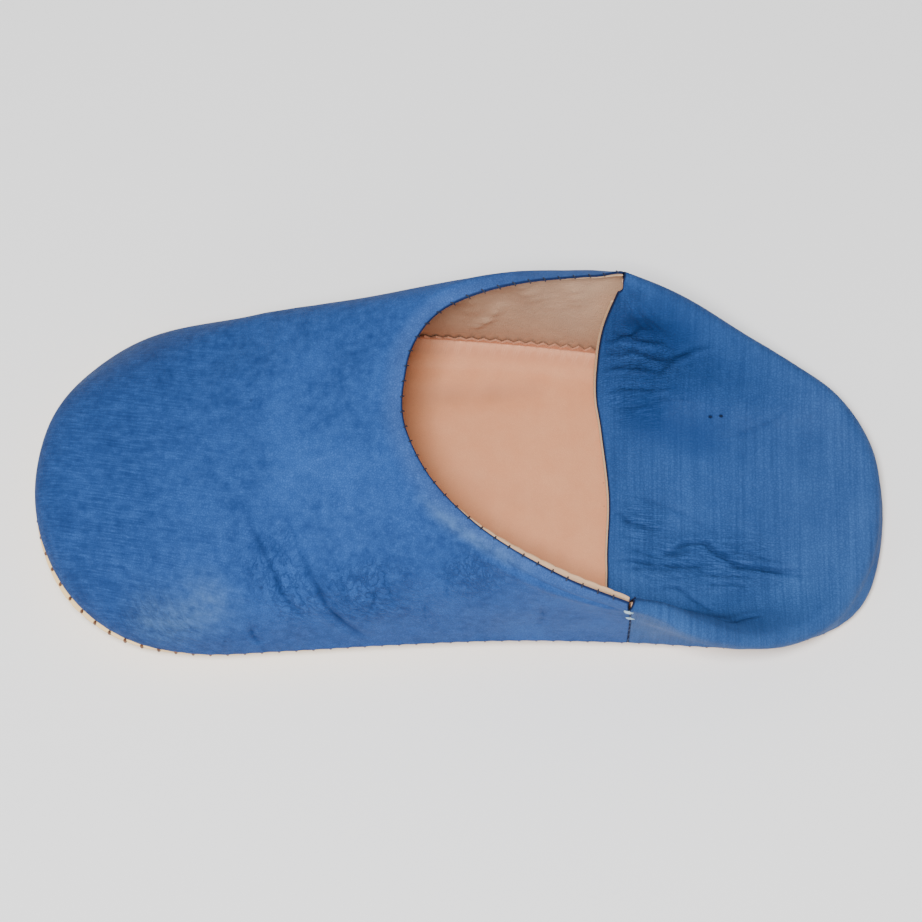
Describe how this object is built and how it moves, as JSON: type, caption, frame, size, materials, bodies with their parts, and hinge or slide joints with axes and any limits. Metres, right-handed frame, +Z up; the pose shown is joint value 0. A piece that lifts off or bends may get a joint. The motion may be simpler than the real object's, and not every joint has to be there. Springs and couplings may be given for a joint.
{
  "type": "babouche slipper",
  "caption": "Soft leather slipper for the right foot with a rounded closed toe, a wide slanted throat, a heel quarter folded flat inside and a thin turned-up leather sole.",
  "frame": {"origin": "on the floor under the middle of the slipper's box", "axes": "+X from toe to heel, +Y to the outer side of the foot, +Z up from the floor"},
  "size_m": [0.2709, 0.1158, 0.0803],
  "materials": {
    "sole_leather": "smooth natural leather",
    "insole_leather": "matt natural leather",
    "vamp_leather": "dyed leather, lightly polished",
    "quarter_leather": "dyed leather, lightly scratched",
    "lining": "undyed lining leather",
    "thread": "waxed thread"
  },
  "bodies": {
    "root": {"sole": "sole_leather", "insole": "insole_leather", "vamp": "vamp_leather", "heel_quarter": "quarter_leather"}
  },
  "joints": []
}
